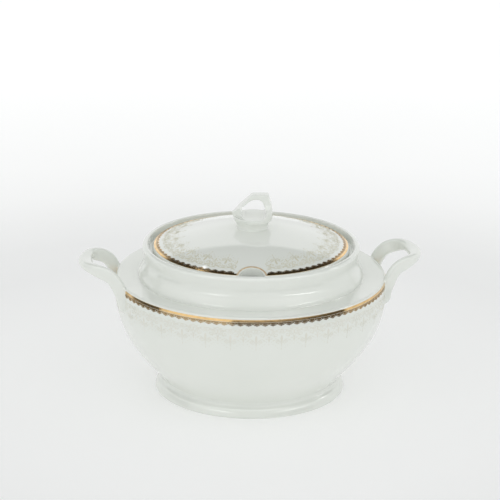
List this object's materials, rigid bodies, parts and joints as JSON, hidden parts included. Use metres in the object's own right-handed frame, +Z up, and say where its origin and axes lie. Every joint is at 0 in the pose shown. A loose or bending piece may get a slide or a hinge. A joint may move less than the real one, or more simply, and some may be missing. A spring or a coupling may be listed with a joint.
{
  "type": "soup tureen",
  "caption": "Round lidded soup tureen on a low foot, with two loop handles, a pierced knob and a slot in the lid for a ladle.",
  "frame": {"origin": "middle of the face that the foot ring stands on", "axes": "+Z up along the axis of the bowl, X through the two handles, and the ladle slot in the lid faces -Y, turned 7.6 degrees clockwise seen from above"},
  "size_m": [0.3104, 0.245, 0.1818],
  "materials": {
    "porcelain": "white porcelain under a clear glossy glaze",
    "gold": "fired-on bright gold line, a film with no real thickness",
    "lace_print": "fired-on scalloped lace transfer in gold and grey",
    "scroll_print": "fired-on faint pearl and beige scroll transfer"
  },
  "bodies": {
    "tureen": {"bowl": "porcelain", "foot_ring": "porcelain", "handle_left": "porcelain", "handle_right": "porcelain", "bowl_gold_band": "gold", "bowl_lace_border": "lace_print", "bowl_scroll_print": "scroll_print"},
    "lid": {"lid": "porcelain", "lid_knob": "porcelain", "lid_gold_band": "gold", "lid_lace_border": "lace_print", "lid_scroll_print": "scroll_print", "notch_gold_line": "gold"}
  },
  "joints": [
    {"name": "lid_lift", "type": "slide", "parent": "tureen", "child": "lid", "axis": [0, 0, 1], "range_m": [0, 0.08]}
  ]
}
